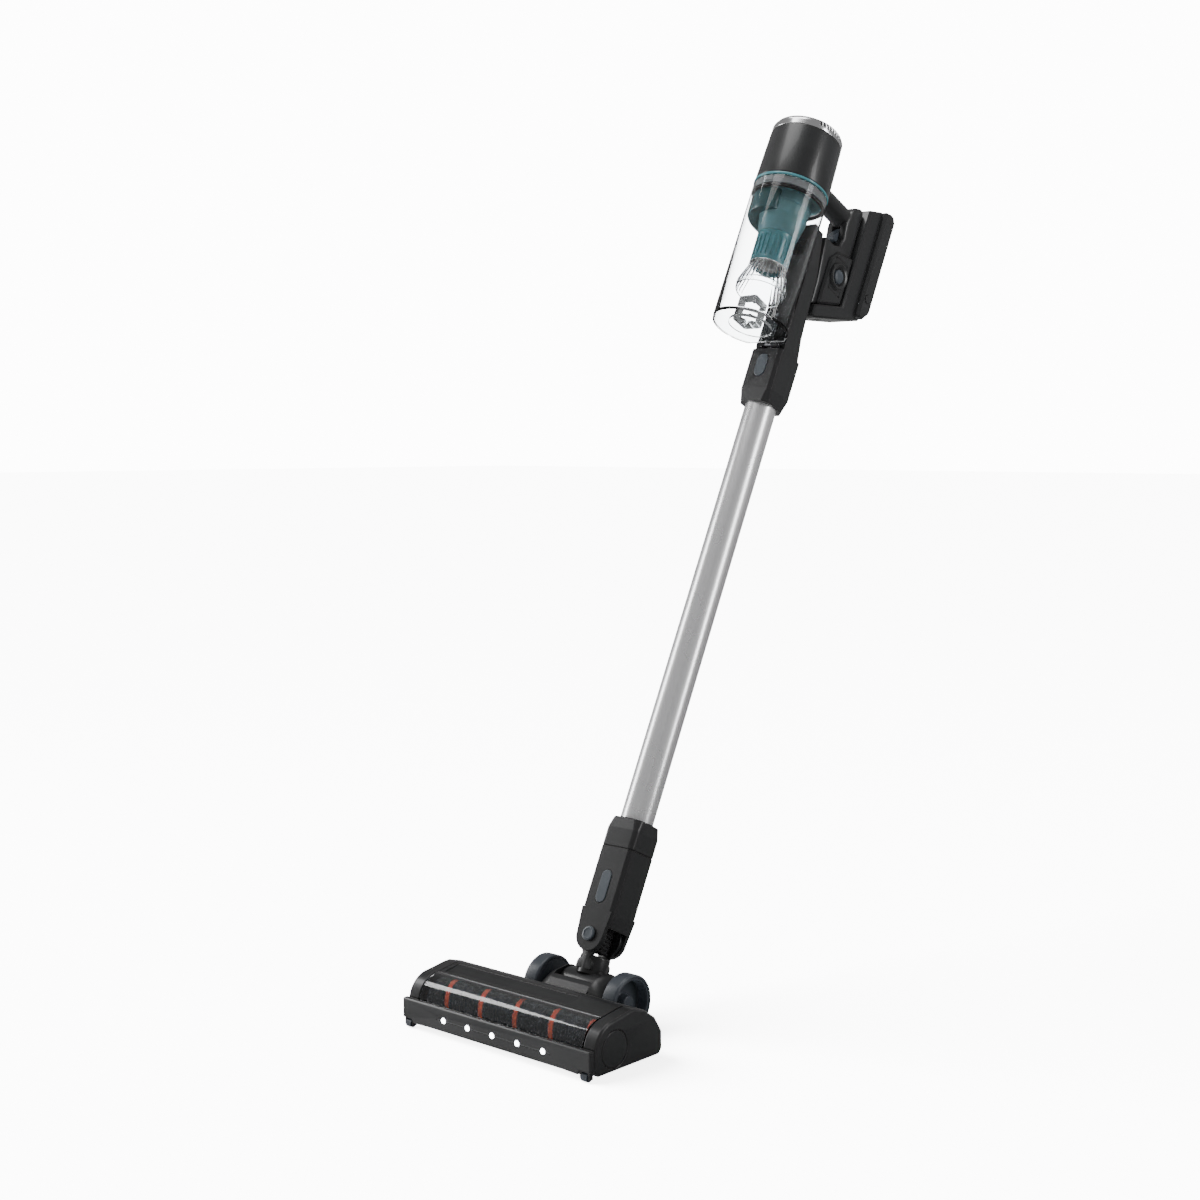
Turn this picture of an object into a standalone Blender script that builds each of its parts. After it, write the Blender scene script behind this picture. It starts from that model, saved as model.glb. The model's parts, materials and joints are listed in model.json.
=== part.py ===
"""Cordless stick vacuum: motorised floor head, swivel neck, tube and handheld unit.

Lengths are millimetres and are scaled to metres when a mesh is made. +X is the width of the
floor head, the front of the head faces -Y and +Z is up. Wand pieces are drawn in the wand's own
frame: its origin is the tilt axis, its z runs up the tube and its -y faces forward.
"""
import math

import bmesh
import bpy
from mathutils import Matrix, Vector

MM = 0.001
GAP = 0.3
ROUND = 28

# Driving dimensions
HEAD_WIDTH = 250.0
FRAME_SHIFT_Y = -314.55
CAP_WIDTH = 16.0
ROLLER_Y, ROLLER_Z = 28.3, 24.0
ROLLER_RADIUS = 22.0
WINDOW_RADIUS = 27.0
BUMPER_DEPTH = 6.0
WHEEL_Y, WHEEL_RADIUS = 128.0, 29.0
WHEEL_INNER_X, WHEEL_OUTER_X = 44.2, 61.0
TILT_Y, TILT_Z = 129.0, 34.0
LEAN = math.radians(26.0)
SWIVEL_HEIGHT = 50.0
DUCT_RADIUS = 12.0
PLUG_RADIUS = 14.0
TUBE_RADIUS, TUBE_WALL = 17.4, 1.2
TUBE_LOW, TUBE_HIGH = 158.0, 664.0
CONNECTOR_HALF = 20.5
CUP_Y = -56.7
CUP_RADIUS, CUP_WALL = 41.9, 2.0
CUP_LOW, CUP_HIGH = 717.4, 880.0
HOUSING_LOW, HOUSING_HIGH = 883.6, 945.0
LEVEL_SLOPE = math.tan(LEAN)

PAINTS = {
    "charcoal": ((0.042, 0.042, 0.045), 0.38, 0.0, 1.0),
    "charcoal_satin": ((0.055, 0.055, 0.058), 0.45, 0.0, 1.0),
    "black": ((0.012, 0.012, 0.014), 0.5, 0.0, 1.0),
    "window": ((0.08, 0.09, 0.10), 0.08, 0.0, 0.35),
    "clear": ((0.85, 0.88, 0.90), 0.05, 0.0, 0.3),
    "lamp": ((0.95, 0.97, 1.0), 0.2, 0.0, 1.0),
    "brush": ((0.02, 0.025, 0.03), 0.9, 0.0, 1.0),
    "steel": ((0.6, 0.6, 0.62), 0.3, 1.0, 1.0),
    "rubber": ((0.02, 0.02, 0.02), 0.8, 0.0, 1.0),
    "tyre": ((0.09, 0.11, 0.125), 0.55, 0.0, 1.0),
    "blue_grey": ((0.16, 0.18, 0.2), 0.4, 0.0, 1.0),
    "silver": ((0.82, 0.82, 0.83), 0.22, 1.0, 1.0),
    "teal": ((0.10, 0.30, 0.34), 0.3, 0.0, 1.0),
    "teal_clear": ((0.30, 0.55, 0.60), 0.12, 0.0, 0.6),
    "filter": ((0.75, 0.75, 0.72), 0.95, 0.0, 1.0),
    "board": ((0.03, 0.22, 0.10), 0.5, 0.0, 1.0),
    "cell": ((0.10, 0.25, 0.45), 0.4, 0.0, 1.0),
}


# Scene and mesh helpers

def clear_scene():
    for obj in list(bpy.data.objects):
        bpy.data.objects.remove(obj, do_unlink=True)


def paint(name):
    """One Principled material for one named piece."""
    colour, roughness, metallic, alpha = PAINTS[name[0]]
    material = bpy.data.materials.new(name[1] + "_paint")
    material.use_nodes = True
    shader = material.node_tree.nodes["Principled BSDF"]
    shader.inputs["Base Color"].default_value = (*colour, 1.0)
    shader.inputs["Roughness"].default_value = roughness
    shader.inputs["Metallic"].default_value = metallic
    shader.inputs["Alpha"].default_value = alpha
    return material


def empty(name, place, turn=(0.0, 0.0, 0.0), parent=None):
    """An axis to hang pieces on, placed in millimetres in its parent's frame."""
    guide = bpy.data.objects.new(name, None)
    guide.location = [value * MM for value in place]
    guide.rotation_euler = turn
    guide.parent = parent
    bpy.context.scene.collection.objects.link(guide)
    return guide


def finish_mesh(name, mesh_data, parent, colour, origin):
    """Turns a bmesh in millimetres into an object, with its origin at `origin`."""
    bmesh.ops.recalc_face_normals(mesh_data, faces=mesh_data.faces[:])
    bmesh.ops.transform(mesh_data, matrix=Matrix.Translation(-Vector(origin)), verts=mesh_data.verts[:])
    bmesh.ops.scale(mesh_data, vec=(MM, MM, MM), verts=mesh_data.verts[:])
    mesh = bpy.data.meshes.new(name)
    mesh_data.to_mesh(mesh)
    mesh_data.free()
    obj = bpy.data.objects.new(name, mesh)
    obj.location = [value * MM for value in origin]
    obj.parent = parent
    bpy.context.scene.collection.objects.link(obj)
    if colour:
        mesh.materials.append(paint((colour, name)))
        mesh.shade_smooth()
        mesh.set_sharp_from_angle(angle=math.radians(35.0))
    else:
        obj.hide_render = True
        obj.display_type = "WIRE"
    return obj


def point_on(axis, along, first, second):
    """A point from its distance along an axis and its two cross coordinates, in X, Y, Z order."""
    if axis == "X":
        return (along, first, second)
    if axis == "Y":
        return (first, along, second)
    return (first, second, along)


def prism(name, outline, low, high, axis, parent, colour=None, origin=(0.0, 0.0, 0.0)):
    """An outline pushed along an axis from low to high."""
    data = bmesh.new()
    bottom = [data.verts.new(point_on(axis, low, *point)) for point in outline]
    top = [data.verts.new(point_on(axis, high, *point)) for point in outline]
    count = len(outline)
    data.faces.new(bottom)
    data.faces.new(top)
    for index in range(count):
        following = (index + 1) % count
        data.faces.new((bottom[index], bottom[following], top[following], top[index]))
    return finish_mesh(name, data, parent, colour, origin)


def block(name, low, high, parent, colour=None, origin=(0.0, 0.0, 0.0)):
    """A box between two opposite corners."""
    outline = [(low[0], low[1]), (high[0], low[1]), (high[0], high[1]), (low[0], high[1])]
    return prism(name, outline, low[2], high[2], "Z", parent, colour, origin)


def stack(name, sections, parent, colour=None, origin=(0.0, 0.0, 0.0)):
    """A skin over matching outlines at rising heights along Z."""
    data = bmesh.new()
    rings = [[data.verts.new((x, y, z)) for x, y in outline] for z, outline in sections]
    count = len(rings[0])
    data.faces.new(rings[0])
    data.faces.new(rings[-1])
    for lower, upper in zip(rings, rings[1:]):
        for index in range(count):
            following = (index + 1) % count
            data.faces.new((lower[index], lower[following], upper[following], upper[index]))
    return finish_mesh(name, data, parent, colour, origin)


def turned(name, profile, centre, axis, parent, colour=None, steps=ROUND, origin=(0.0, 0.0, 0.0)):
    """A profile of (radius, distance along the axis) spun about an axis through `centre`."""
    data = bmesh.new()
    rings = []
    for radius, along in profile:
        if radius == 0.0:
            rings.append([data.verts.new(spun_point(axis, centre, 0.0, 0.0, along))] * steps)
            continue
        angles = [math.tau * step / steps for step in range(steps)]
        rings.append([data.verts.new(spun_point(axis, centre, radius, angle, along)) for angle in angles])
    for lower, upper in zip(rings, rings[1:] + rings[:1]):
        for step in range(steps):
            following = (step + 1) % steps
            corners = [lower[step], lower[following], upper[following], upper[step]]
            corners = list(dict.fromkeys(corners))
            if len(corners) > 2:
                data.faces.new(corners)
    return finish_mesh(name, data, parent, colour, origin)


def spun_point(axis, centre, radius, angle, along):
    first = centre[0] + radius * math.cos(angle)
    second = centre[1] + radius * math.sin(angle)
    return point_on(axis, along, first, second)


def rod(name, radius, low, high, centre, axis, parent, colour=None, steps=ROUND, origin=(0.0, 0.0, 0.0)):
    """A solid round bar."""
    profile = [(0.0, low), (radius, low), (radius, high), (0.0, high)]
    return turned(name, profile, centre, axis, parent, colour, steps, origin)


def ring(name, inner, outer, low, high, centre, axis, parent, colour=None, steps=ROUND,
         origin=(0.0, 0.0, 0.0)):
    """A plain bush: a tube with square ends."""
    profile = [(inner, low), (outer, low), (outer, high), (inner, high)]
    return turned(name, profile, centre, axis, parent, colour, steps, origin)


def combine(target, other, operation):
    """Cuts or joins with a second mesh, which stays a hidden guide."""
    other.hide_render = True
    other.display_type = "WIRE"
    change = target.modifiers.new(operation.lower(), "BOOLEAN")
    change.operation = operation
    change.solver = "EXACT"
    change.object = other


def cut(target, *cutters):
    for cutter in cutters:
        combine(target, cutter, "DIFFERENCE")


def join(target, *pieces):
    for piece in pieces:
        combine(target, piece, "UNION")


def soften(obj, width, segments=1):
    """Small rounded edges, added before any cut."""
    bevel = obj.modifiers.new("soft_edges", "BEVEL")
    bevel.width = width * MM
    bevel.segments = segments
    bevel.limit_method = "ANGLE"
    bevel.angle_limit = math.radians(40.0)


def arc(centre, radius, start, end, steps):
    """Points on an arc, with angles in degrees."""
    angles = [math.radians(start + (end - start) * step / steps) for step in range(steps + 1)]
    return [(centre[0] + radius * math.cos(a), centre[1] + radius * math.sin(a)) for a in angles]


def octagon(half_x, half_y, corner):
    """A rectangle about the axis with its corners cut."""
    near_x, near_y = half_x - corner, half_y - corner
    return [(-near_x, -half_y), (near_x, -half_y), (half_x, -near_y), (half_x, near_y),
            (near_x, half_y), (-near_x, half_y), (-half_x, near_y), (-half_x, -near_y)]


def mirrored(side, low, high):
    """The span from low to high on the right, or its mirror image on the left."""
    return (low, high) if side > 0 else (-high, -low)


# Floor head

def head_side_outline(inset=0.0):
    """The side view of the floor head, as (y, z)."""
    roller = (ROLLER_Y, ROLLER_Z)
    front = arc(roller, WINDOW_RADIUS - inset, 180.0, 90.0, 8)
    rear = [(50.0, 54.5 - inset), (57.0, 54.8 - inset), (72.0 - 0.5 * inset, 50.5 - inset),
            (87.0 - inset, 40.0 - 0.5 * inset), (96.7 - inset, 25.0), (97.0 - inset, 8.0)]
    return [(6.0 + inset, 3.0 + inset), (1.3 + inset, 9.0)] + front + rear + [(93.0, 3.0 + inset)]


def build_head_shells(head):
    half = HEAD_WIDTH / 2.0 - CAP_WIDTH - GAP
    base_outline = [(1.6, 3.0), (94.0, 3.0), (97.0, 8.0), (97.0, 22.0), (56.2, 22.0), (56.2, 12.0), (1.6, 12.0)]
    base = prism("head_base", base_outline, -half, half, "X", head, "charcoal_satin")
    mouth = block("mouth_cutter", (-104.0, 6.0, -5.0), (104.0, 59.5, 15.0), head)
    duct = block("duct_cutter", (-11.0, 50.0, 8.0), (11.0, 100.0, 19.0), head)
    motor_bay = block("motor_bay_cutter", (14.0, 62.0, 5.5), (106.0, 93.5, 30.0), head)
    wiring_bay = block("wiring_bay_cutter", (-106.0, 62.0, 5.5), (-14.0, 93.5, 30.0), head)
    cut(base, mouth, duct, motor_bay, wiring_bay)

    wall = 2.4
    chamber = arc((ROLLER_Y, ROLLER_Z), WINDOW_RADIUS - 1.4, 90.0, 0.0, 8)
    outer = [(29.0, 51.1), (50.0, 54.5), (57.0, 54.8), (72.0, 50.5), (87.0, 40.0), (96.7, 25.0), (96.8, 22.3)]
    inner = [(96.8 - wall, 22.3), (96.7 - wall, 25.0), (85.5, 38.6), (71.0, 48.0), (58.0, 52.2)]
    outline = outer + inner + [(56.2, 40.0), (56.2, 22.3)] + [(53.9, 22.3)] + chamber[::-1]
    cover = prism("head_cover", outline, -half, half, "X", head, "charcoal_satin")
    recess = prism("recess_cutter", [(31.5, 60.0), (31.5, 51.0), (36.0, 50.9), (52.0, 54.0), (54.0, 60.0)],
                   -104.0, 60.0, "X", head)
    cut(cover, recess)

    window_outline = (arc((ROLLER_Y, ROLLER_Z), WINDOW_RADIUS, 176.0, 91.0, 14)
                      + arc((ROLLER_Y, ROLLER_Z), WINDOW_RADIUS - 2.0, 91.0, 176.0, 14))
    prism("roller_window", window_outline, -half, half, "X", head, "window")


def build_end_caps(head):
    outer_x = HEAD_WIDTH / 2.0
    inner_x = outer_x - CAP_WIDTH
    left = prism("end_cap_left", head_side_outline(), -outer_x, -inner_x, "X", head, "charcoal")
    soften(left, 1.6)
    pocket = prism("drive_pocket_cutter", head_side_outline(3.0), -outer_x + 3.4, -inner_x + 5.0, "X", head)
    cut(left, pocket)
    right = prism("end_cap_right", head_side_outline(), inner_x, outer_x, "X", head, "charcoal")
    soften(right, 1.6)
    roller = (ROLLER_Y, ROLLER_Z)
    disc_seat = rod("disc_seat_cutter", 18.0, outer_x - 3.0, outer_x + 5.0, roller, "X", head)
    bearing_seat = rod("bearing_seat_cutter", 9.3, inner_x - 5.0, inner_x + 6.0, roller, "X", head)
    cut(right, disc_seat, bearing_seat)
    disc = rod("brush_release_disc", 17.6, outer_x - 3.0 + GAP, outer_x, roller, "X", head, "charcoal",
               origin=(outer_x, *roller))
    soften(disc, 0.6)


def build_bumper(head):
    half = HEAD_WIDTH / 2.0
    back = 0.9
    lower_edge = [(-half, 9.4), (-112.0, 9.4), (-110.0, 5.5)]
    arch = [(-100.0 + 20.0 * step, 8.5 - 3.0 * ((-100.0 + 20.0 * step) / 105.0) ** 2) for step in range(11)]
    outline = lower_edge + arch + [(110.0, 5.5), (112.0, 9.4), (half, 9.4), (half, 29.5), (-half, 29.5)]
    bumper = prism("front_bumper", outline, -BUMPER_DEPTH, back, "Y", head, "charcoal")
    soften(bumper, 1.2)
    lamp_z = 17.7
    slot = block("lamp_slot_cutter", (-76.0, -10.0, lamp_z - 0.9), (76.0, -3.0, lamp_z + 0.9), head)
    cut(bumper, slot)
    strip = block("lamp_strip", (-75.6, -5.8, lamp_z - 0.6), (75.6, -3.3, lamp_z + 0.6), head, "lamp")
    for number in range(5):
        lamp_x = (number - 2) * 33.2
        hole = rod(f"lamp_hole_{number}", 3.0, -10.0, -3.0, (lamp_x, lamp_z), "Y", head, steps=16)
        cut(bumper, hole)
        lamp = rod(f"lamp_{number}", 2.6, -6.4, -3.4, (lamp_x, lamp_z), "Y", head, steps=16)
        join(strip, lamp)
    foot_y, foot_z, foot_radius = -1.8, 4.2, 4.2
    for side, label in ((-1, "left"), (1, "right")):
        for near, far in ((111.2, 113.4), (121.0, 123.2)):
            low, high = mirrored(side, near, far)
            join(bumper, block(f"lug_{label}_{near:.0f}", (low, -4.2, 2.4), (high, 0.6, 12.0), head))
        low, high = mirrored(side, 112.0, 122.0)
        join(bumper, rod(f"foot_pin_{label}", 1.2, low, high, (foot_y, foot_z), "X", head, steps=16))
        low, high = mirrored(side, 113.4 + GAP, 121.0 - GAP)
        ring(f"front_roller_{label}", 1.2 + GAP, foot_radius, low, high, (foot_y, foot_z), "X", head,
             "tyre", 24, (0.5 * (low + high), foot_y, foot_z))


def build_roller(head):
    roller = (ROLLER_Y, ROLLER_Z)
    end = 103.4
    brush_profile = [(5.3, -end), (ROLLER_RADIUS - 1.0, -end), (ROLLER_RADIUS, -end + 1.0),
                     (ROLLER_RADIUS, end - 1.0), (ROLLER_RADIUS - 1.0, end), (5.3, end)]
    origin = (0.0, *roller)
    turned("roller_brush", brush_profile, roller, "X", head, "brush", origin=origin)
    rod("roller_shaft", 5.0, -119.5, 114.0, roller, "X", head, "steel", 24, origin)
    ring("roller_pulley", 5.3, 12.0, -118.6, -111.0, roller, "X", head, "black", 32, origin)
    ring("roller_bearing", 5.3, 9.0, 109.4, 114.6, roller, "X", head, "steel", 24, origin)


def build_drive(head):
    motor = (76.0, 24.6)
    rod("brush_motor", 12.5, -104.0, -40.0, motor, "X", head, "steel", 32)
    turned("motor_pulley",
           [(0.0, -118.6), (7.0, -118.6), (7.0, -111.0), (2.0, -111.0), (2.0, -104.3), (0.0, -104.3)],
           motor, "X", head, "black", 24, (0.0, *motor))
    belt_inner = belt_outline((ROLLER_Y, ROLLER_Z), 12.3, motor, 7.3)
    belt_outer = belt_outline((ROLLER_Y, ROLLER_Z), 13.6, motor, 8.6)
    belt = prism("drive_belt", belt_outer, -117.6, -112.0, "X", head, "rubber")
    cut(belt, prism("belt_cutter", belt_inner, -130.0, -100.0, "X", head))


def belt_outline(first, first_radius, second, second_radius):
    """The outside of a belt round two pulleys, with its straight runs tangent to both."""
    span = math.dist(first, second)
    heading = math.degrees(math.atan2(second[1] - first[1], second[0] - first[0]))
    spread = math.degrees(math.acos((first_radius - second_radius) / span))
    near = arc(first, first_radius, heading + spread, heading + 360.0 - spread, 20)
    return near + arc(second, second_radius, heading - spread, heading + spread, 12)


def build_yoke_and_wheels(head):
    tilt = (TILT_Y, TILT_Z)
    outline = ([(97.4, 8.0), (97.4, 30.0), (104.0, 44.0), (114.0, 50.5)]
               + arc(tilt, 18.5, 100.0, -60.0, 12) + [(112.0, 9.0)])
    yoke = prism("rear_yoke", outline, -43.6, 43.6, "X", head, "charcoal_satin")
    slot = block("yoke_slot_cutter", (-25.4, 110.8, -5.0), (25.4, 160.0, 70.0), head)
    trunnion_bore = rod("trunnion_bore_cutter", 6.3, -34.5, 34.5, tilt, "X", head, steps=24)
    duct = rod("yoke_duct_cutter", 6.5, 90.0, 120.0, (0.0, 16.0), "Y", head, steps=24)
    cut(yoke, slot, trunnion_bore, duct)
    for side, label in ((-1, "left"), (1, "right")):
        centre = (WHEEL_Y, WHEEL_RADIUS)
        low, high = mirrored(side, 36.0, 50.0)
        cut(yoke, rod(f"axle_bore_cutter_{label}", 3.3, low, high, centre, "X", head, steps=20))
        build_wheel(head, side, label, centre)


def build_wheel(head, side, label, centre):
    origin = (side * WHEEL_INNER_X, *centre)
    inner, outer = WHEEL_INNER_X, WHEEL_OUTER_X
    tyre = [(25.9, inner), (WHEEL_RADIUS - 1.0, inner), (WHEEL_RADIUS, inner + 1.0),
            (WHEEL_RADIUS, outer - 1.0), (WHEEL_RADIUS - 1.0, outer), (25.9, outer)]
    turned(f"tyre_{label}", [(r, side * x) for r, x in tyre], centre, "X", head, "tyre", 32, origin)
    disc = [(0.0, 36.4), (3.0, 36.4), (3.0, inner), (25.6, inner), (25.6, outer - 0.6), (24.0, outer - 0.6),
            (24.0, inner + 3.0), (8.0, inner + 3.0), (7.0, outer - 5.0), (0.0, outer - 5.0)]
    turned(f"wheel_{label}", [(r, side * x) for r, x in disc], centre, "X", head, "black", 24, origin)


# Neck and lower connector

def lug_outline(half, centre_z, top_z, top_half):
    """A rounded lug: a half circle about the swivel with straight sides up to top_z."""
    return arc((0.0, centre_z), half, 180.0, 360.0, 14) + [(top_half, top_z), (-top_half, top_z)]


def build_neck(wand, head):
    neck = rod("neck_duct", 17.0, -25.0, 25.0, (0.0, 0.0), "X", wand, "charcoal")
    column = rod("neck_column", 15.4, -2.0, 38.0, (0.0, 0.0), "Z", wand, steps=27)
    trunnions = rod("neck_trunnions", 6.0, -34.2, 34.2, (0.0, 0.0), "X", wand, steps=19)
    join(neck, column, trunnions)
    cheek = [(-x, 2.0 * SWIVEL_HEIGHT - z) for x, z in lug_outline(15.4, SWIVEL_HEIGHT, 70.0, 15.4)]
    for side, label in ((-1, "front"), (1, "rear")):
        low, high = mirrored(side, 11.3, 15.3)
        join(neck, prism(f"neck_cheek_{label}", cheek, low, high, "Y", wand))
    guard = prism("cable_guard", [(14.0, 6.0), (21.0, 12.0), (21.0, 24.0), (17.0, 30.0), (14.0, 30.0)],
                  -6.0, 6.0, "X", wand)
    join(neck, guard)
    bore = rod("neck_bore_cutter", 11.0, 2.2, 60.0, (0.0, 0.0), "Z", wand, steps=25)
    port = rod("neck_port_cutter", 6.5, 90.0, TILT_Y - 1.3, (0.0, TILT_Z + 1.5), "Y", head, steps=19)
    pin_bores = rod("neck_pin_cutter", 5.9, -30.0, 30.0, (0.0, SWIVEL_HEIGHT), "Y", wand, steps=21)
    cut(neck, bore, port, pin_bores)
    for side, label in ((-1, "front"), (1, "rear")):
        pin = [(0.0, 11.4), (5.5, 11.4), (5.5, 20.8), (7.4, 20.8), (7.4, 22.6), (6.6, 23.3), (0.0, 23.3)]
        turned(f"swivel_pin_{label}", [(r, side * y) for r, y in pin], (0.0, SWIVEL_HEIGHT), "Y", wand,
               "blue_grey", 32, (0.0, 0.0, SWIVEL_HEIGHT))


def build_hose(wand):
    """A corrugated hose: its wall steps in and out once per fold."""
    low, high, folds = 34.0, 84.0, 9
    pitch = (high - low) / folds
    outside = []
    for fold in range(folds):
        base = low + fold * pitch
        outside += [(9.2, base + 0.1 * pitch), (10.5, base + 0.35 * pitch), (10.5, base + 0.65 * pitch),
                    (9.2, base + 0.9 * pitch)]
    profile = [(8.0, low)] + outside + [(8.0, high)]
    turned("swivel_hose", profile, (0.0, 0.0), "Z", wand, "black", 16, (0.0, 0.0, SWIVEL_HEIGHT))


def build_lower_connector(wand):
    origin = (0.0, 0.0, SWIVEL_HEIGHT)
    half = CONNECTOR_HALF
    body = stack("lower_connector", [(60.0, octagon(half - 1.0, half, 3.6)), (74.0, octagon(half, half, 3.6)),
                                     (141.0, octagon(half, half, 3.6))], wand, "charcoal", origin)
    lug = lug_outline(16.8, SWIVEL_HEIGHT, 76.0, 19.6)
    for side, label in ((-1, "front"), (1, "rear")):
        low, high = mirrored(side, 15.6, half)
        join(body, prism(f"connector_lug_{label}", lug, low, high, "Y", wand))
    cavity = block("connector_cavity_cutter", (-16.6, -15.6, 20.0), (16.6, 15.6, 72.0), wand)
    bore = rod("connector_bore_cutter", DUCT_RADIUS, 60.0, 100.0, (0.0, 0.0), "Z", wand, steps=32)
    socket = rod("connector_socket_cutter", PLUG_RADIUS + GAP, 99.0, 150.0, (0.0, 0.0), "Z", wand)
    pins = rod("connector_pin_cutter", 5.8, -30.0, 30.0, (0.0, SWIVEL_HEIGHT), "Y", wand, steps=24)
    cut(body, cavity, bore, socket, pins)
    build_release_button(wand, body, "lower", 82.0, 117.0, 6.4)

    sections = [(141.3, octagon(half, half, 3.6)), (161.0, octagon(half, half, 3.6)),
                (173.0, octagon(19.4, 19.4, 6.0))]
    collar = stack("lower_collar", sections, wand, "charcoal", origin)
    ledge = rod("collar_ledge_cutter", PLUG_RADIUS + GAP, 130.0, 160.0, (0.0, 0.0), "Z", wand)
    seat = rod("collar_seat_cutter", TUBE_RADIUS + GAP, TUBE_LOW - GAP, 180.0, (0.0, 0.0), "Z", wand)
    cut(collar, ledge, seat)


def build_release_button(wand, body, label, low, high, half):
    """An oblong button in the front wall, on a coil spring."""
    face, depth = -CONNECTOR_HALF, 4.6
    inset = half + 0.4
    middle = 0.5 * (low + high)
    seat = (arc((0.0, high - inset), inset, 0.0, 180.0, 10) + arc((0.0, low + inset), inset, 180.0, 360.0, 10))
    shape = (arc((0.0, high - inset), half, 0.0, 180.0, 10) + arc((0.0, low + inset), half, 180.0, 360.0, 10))
    cut(body, prism(f"{label}_button_cutter", seat, face - 5.0, face + depth, "Y", wand))
    button = prism(f"{label}_release_button", shape, face - 0.8, face + 1.6, "Y", wand, "blue_grey",
                   (0.0, face, middle))
    soften(button, 0.5)
    spring = spring_points(2.4, face + 1.9 + 0.45, face + depth - 0.45, 2.0, (0.0, middle))
    wire(f"{label}_button_spring", spring, 0.4, wand, (0.0, face, middle))


def spring_points(radius, low, high, turns, centre):
    """Points of a coil whose axis runs along y."""
    steps = int(turns * 10)
    points = []
    for step in range(steps + 1):
        angle = math.tau * turns * step / steps
        along = low + (high - low) * step / steps
        points.append((centre[0] + radius * math.cos(angle), along, centre[1] + radius * math.sin(angle)))
    return points


def wire(name, points, radius, parent, origin):
    """A round wire along points, as a curve with a bevel and filled ends."""
    curve = bpy.data.curves.new(name, "CURVE")
    curve.dimensions = "3D"
    curve.bevel_depth = radius * MM
    curve.bevel_resolution = 1
    curve.use_fill_caps = True
    line = curve.splines.new("POLY")
    line.points.add(len(points) - 1)
    for place, point in zip(line.points, points):
        place.co = (*[(value - start) * MM for value, start in zip(point, origin)], 1.0)
    curve.materials.append(paint(("steel", name)))
    obj = bpy.data.objects.new(name, curve)
    obj.location = [value * MM for value in origin]
    obj.parent = parent
    bpy.context.scene.collection.objects.link(obj)


# Tube and upper connector

def build_tube(wand):
    origin = (0.0, 0.0, TUBE_LOW)
    ring("tube", TUBE_RADIUS - TUBE_WALL, TUBE_RADIUS, TUBE_LOW, TUBE_HIGH, (0.0, 0.0), "Z", wand, "silver",
         32, origin)
    plug = [(DUCT_RADIUS, 100.3), (PLUG_RADIUS, 100.3), (PLUG_RADIUS, TUBE_LOW + GAP),
            (TUBE_RADIUS - TUBE_WALL - GAP, TUBE_LOW + GAP), (TUBE_RADIUS - TUBE_WALL - GAP, 190.0),
            (DUCT_RADIUS, 190.0)]
    turned("tube_plug", plug, (0.0, 0.0), "Z", wand, "black", origin=origin)


def build_upper_connector(wand):
    half = CONNECTOR_HALF
    sections = [(646.0, octagon(19.0, 19.0, 6.5)), (662.0, octagon(half, half, 3.6)),
                (709.0, octagon(half, half, 3.6))]
    body = stack("upper_connector", sections, wand, "charcoal", (0.0, 0.0, 646.0))
    seat = rod("upper_seat_cutter", TUBE_RADIUS + GAP, 630.0, TUBE_HIGH + GAP, (0.0, 0.0), "Z", wand)
    socket = rod("upper_socket_cutter", PLUG_RADIUS + GAP, 660.0, 720.0, (0.0, 0.0), "Z", wand)
    cut(body, seat, socket)
    build_release_button(wand, body, "upper", 675.0, 703.0, 7.4)


# Handheld unit

def build_main_body(wand):
    """The spine behind the cup: a tapering duct with a nozzle below and an inlet at the top."""
    sections = [(709.4, spine_outline(19.6, 19.8)), (735.0, spine_outline(18.8, 15.8)),
                (765.0, spine_outline(18.4, 14.0)), (812.0, spine_outline(16.5, 13.6)),
                (845.0, spine_outline(14.0, 9.4)), (864.0, spine_outline(13.0, 6.5))]
    body = stack("main_body", sections, wand, "charcoal")
    nozzle = rod("nozzle", PLUG_RADIUS, 668.0, 712.0, (0.0, 0.0), "Z", wand)
    bore = rod("spine_bore_cutter", 10.6, 660.0, 846.7, (0.0, -0.7), "Z", wand, steps=25)
    inlet = block("spine_inlet_cutter", (-7.7, -20.0, 828.3), (7.7, 0.4, 845.4), wand)
    join(body, nozzle)
    cut(body, bore, inlet)


def spine_outline(half, back):
    """The spine's cross-section, flat at the front and chamfered at the back."""
    front = -14.3
    corner = 5.0
    return [(-half, front), (half, front), (half, back - corner), (half - corner, back),
            (-half + corner, back), (-half, back - corner)]


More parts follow.
